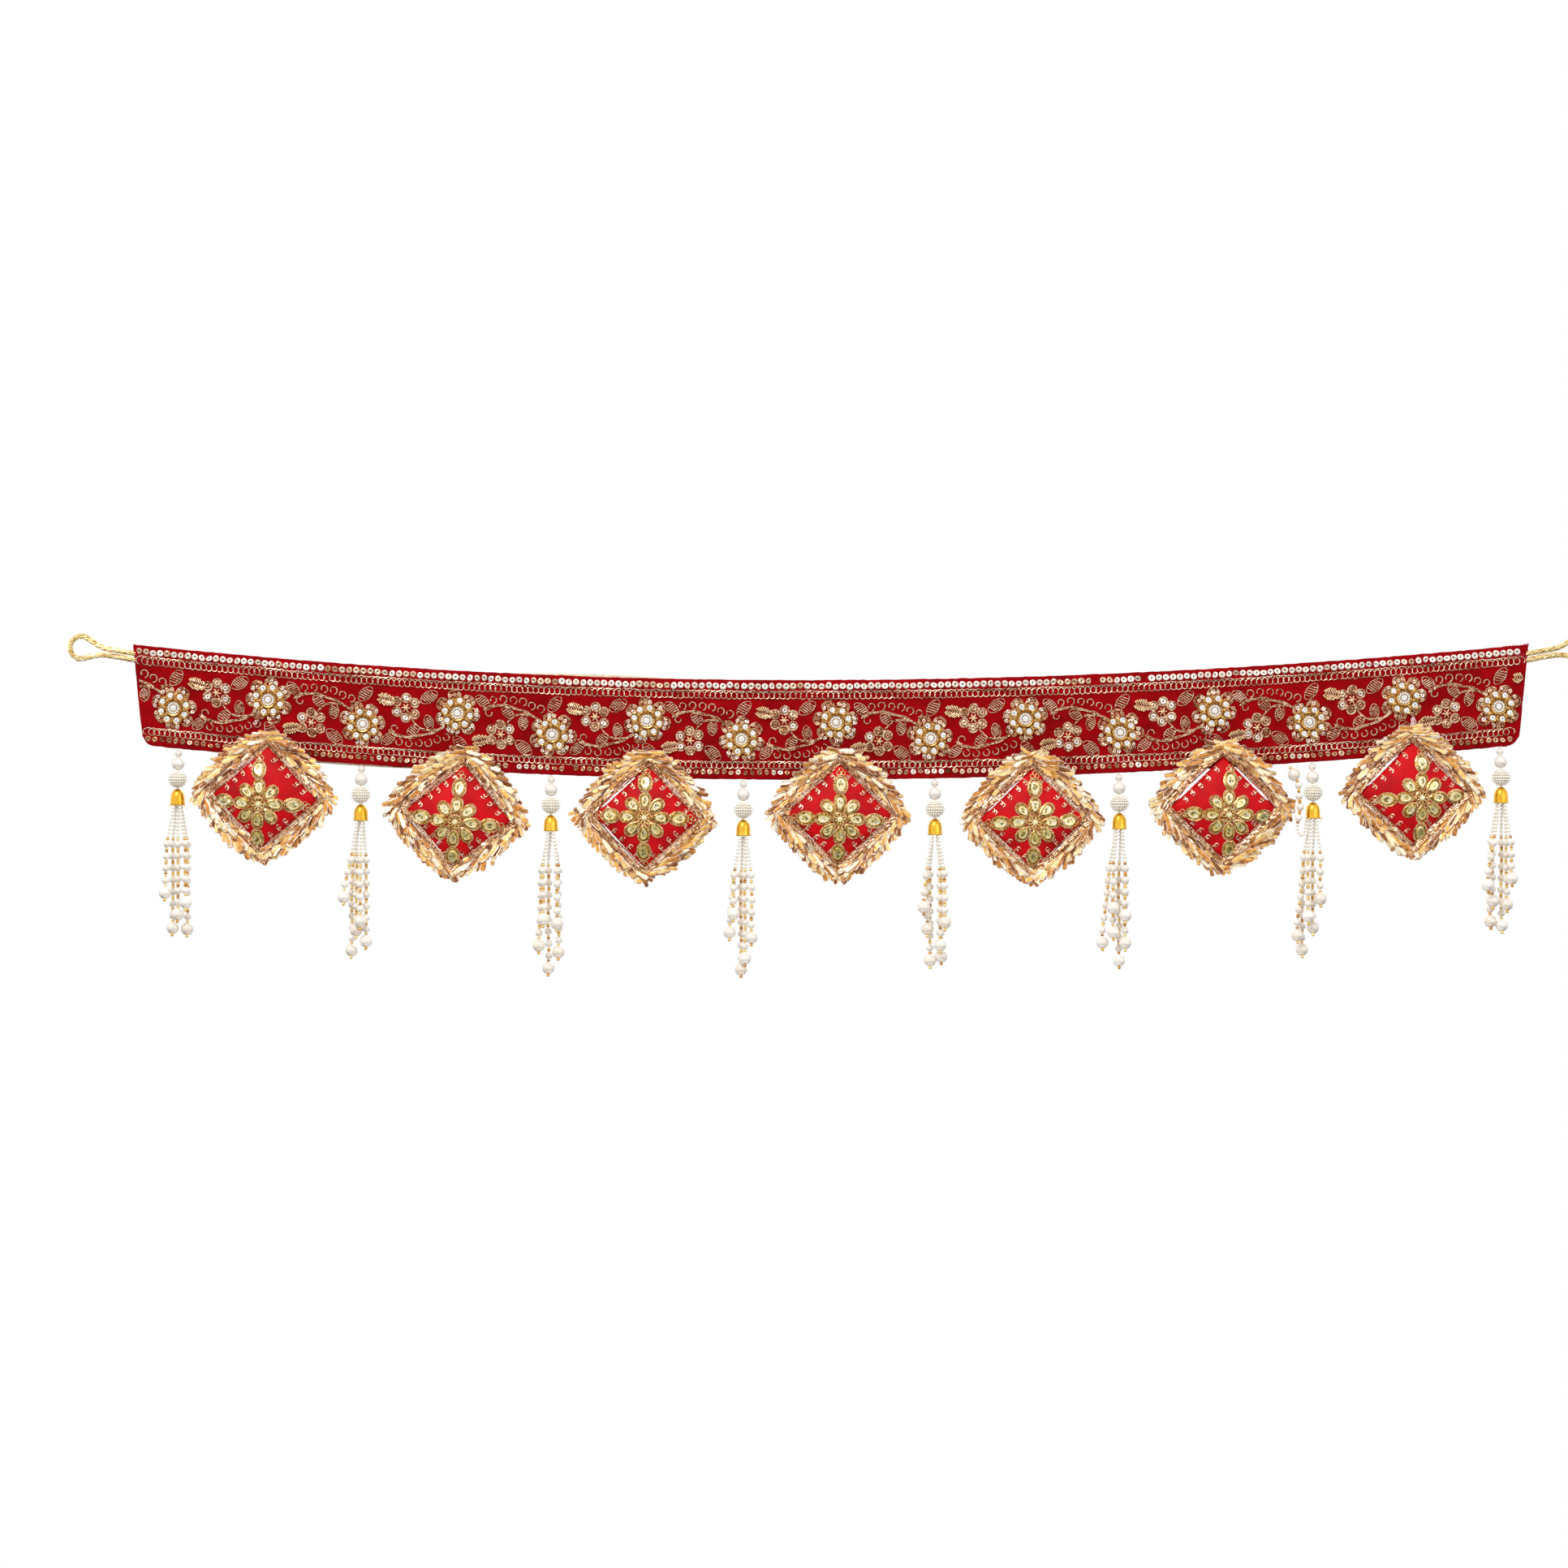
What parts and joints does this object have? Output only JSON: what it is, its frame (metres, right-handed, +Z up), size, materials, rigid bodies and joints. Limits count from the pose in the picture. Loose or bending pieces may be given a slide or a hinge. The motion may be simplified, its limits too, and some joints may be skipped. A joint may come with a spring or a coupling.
{
  "type": "toran door hanging",
  "caption": "Embroidered velvet band for the top of a doorway, with small frilled diamond pads and pearl bead tassels hanging from its lower edge.",
  "frame": {"origin": "middle of the band's top edge, in the plane of the lining's back", "axes": "+X along the band to the viewer's right, +Y into the wall behind it, +Z up"},
  "size_m": [1.0264, 0.0206, 0.2317],
  "materials": {
    "velvet": "soft pile",
    "lining": "matt",
    "gold_cord": "metallic thread",
    "gold_ribbon": "metallic foil",
    "kundan_stone": "foil-backed",
    "jewel": "polished, set with clear stones",
    "pearl": "pearly"
  },
  "bodies": {
    "root": {"band": "velvet", "lining": "lining", "tie_left": "gold_cord", "tie_right": "gold_cord", "flower_1": "jewel", "flower_2": "jewel", "flower_3": "jewel", "flower_4": "jewel", "flower_5": "jewel", "flower_6": "jewel", "flower_7": "jewel", "flower_8": "jewel", "flower_9": "jewel", "flower_10": "jewel", "flower_11": "jewel", "flower_12": "jewel", "flower_13": "jewel", "flower_14": "jewel", "flower_15": "jewel", "pad_1": "velvet", "pad_2": "velvet", "pad_3": "velvet", "pad_4": "velvet", "pad_5": "velvet", "pad_6": "velvet", "pad_7": "velvet", "frill_1": "gold_ribbon", "frill_2": "gold_ribbon", "frill_3": "gold_ribbon", "frill_4": "gold_ribbon", "frill_5": "gold_ribbon", "frill_6": "gold_ribbon", "frill_7": "gold_ribbon", "stones_1": "kundan_stone", "stones_2": "kundan_stone", "stones_3": "kundan_stone", "stones_4": "kundan_stone", "stones_5": "kundan_stone", "stones_6": "kundan_stone", "stones_7": "kundan_stone", "beads_1": "pearl", "beads_2": "pearl", "beads_3": "pearl", "beads_4": "pearl", "beads_5": "pearl", "beads_6": "pearl", "beads_7": "pearl", "beads_8": "pearl", "tassel_1": "pearl", "tassel_2": "pearl", "tassel_3": "pearl", "tassel_4": "pearl", "tassel_5": "pearl", "tassel_6": "pearl", "tassel_7": "pearl", "tassel_8": "pearl"}
  },
  "joints": []
}
